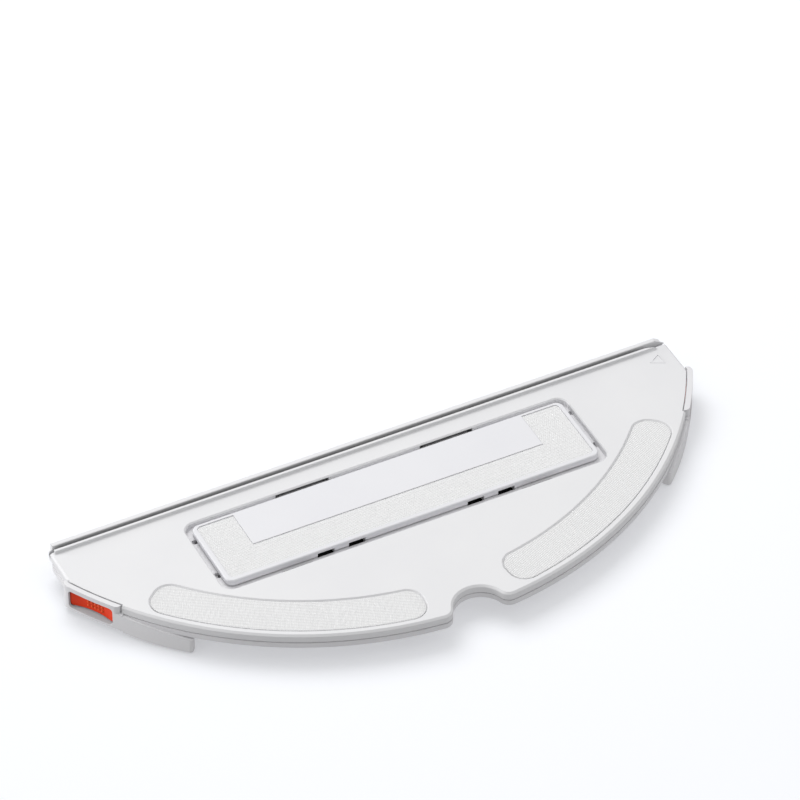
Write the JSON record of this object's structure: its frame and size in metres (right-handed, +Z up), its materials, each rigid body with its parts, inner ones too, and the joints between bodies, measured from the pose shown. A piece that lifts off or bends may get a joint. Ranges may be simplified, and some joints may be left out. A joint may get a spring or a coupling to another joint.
{
  "type": "robot vacuum mop bracket",
  "caption": "D-shaped mop bracket for a round robot vacuum, with a cloth slot, hook pads, a shaking scrub plate and side release buttons.",
  "frame": {"origin": "on the ground under the middle of the bracket's bounding box, where its two legs stand", "axes": "+X to the right along the straight edge, +Y towards the straight edge, +Z up, out of the mop side"},
  "size_m": [0.3034, 0.1142, 0.0176],
  "materials": {
    "white_plastic": "satin",
    "plate_plastic": "smooth satin",
    "hook_tape": "woven hook tape",
    "button_plastic": "satin",
    "dark_plastic": "matt",
    "link_plastic": "matt",
    "spring_steel": "bright",
    "steel": "zinc plated",
    "magnet": "nickel plated"
  },
  "bodies": {
    "chassis": {"frame_shell": "white_plastic", "face_cover": "white_plastic", "left_hook_pad": "hook_tape", "right_hook_pad": "hook_tape", "shell_screws": "steel", "detection_magnet": "magnet", "left_button_spring": "spring_steel", "right_button_spring": "spring_steel", "back_left_flexure": "link_plastic", "back_right_flexure": "link_plastic", "front_left_flexure": "link_plastic", "front_right_flexure": "link_plastic"},
    "scrub_unit": {"scrub_plate": "plate_plastic", "scrub_pad": "hook_tape", "drive_carrier": "dark_plastic", "plate_screws": "steel"},
    "left_button": {"left_release_button": "button_plastic"},
    "right_button": {"right_release_button": "button_plastic"}
  },
  "joints": [
    {"name": "scrub_shake", "type": "slide", "parent": "chassis", "child": "scrub_unit", "axis": [0, 1, 0], "range_m": [-0.0015, 0.0015], "stiffness_N_per_m": 2000, "deforming": ["back_left_flexure", "back_right_flexure", "front_left_flexure", "front_right_flexure"]},
    {"name": "left_button_press", "type": "slide", "parent": "chassis", "child": "left_button", "axis": [0.8479, 0.5301, 0], "range_m": [0, 0.003], "stiffness_N_per_m": 600, "springref_m": -0.002, "deforming": ["left_button_spring"]},
    {"name": "right_button_press", "type": "slide", "parent": "chassis", "child": "right_button", "axis": [-0.8479, 0.5301, 0], "range_m": [0, 0.003], "stiffness_N_per_m": 600, "springref_m": -0.002, "deforming": ["right_button_spring"]}
  ]
}
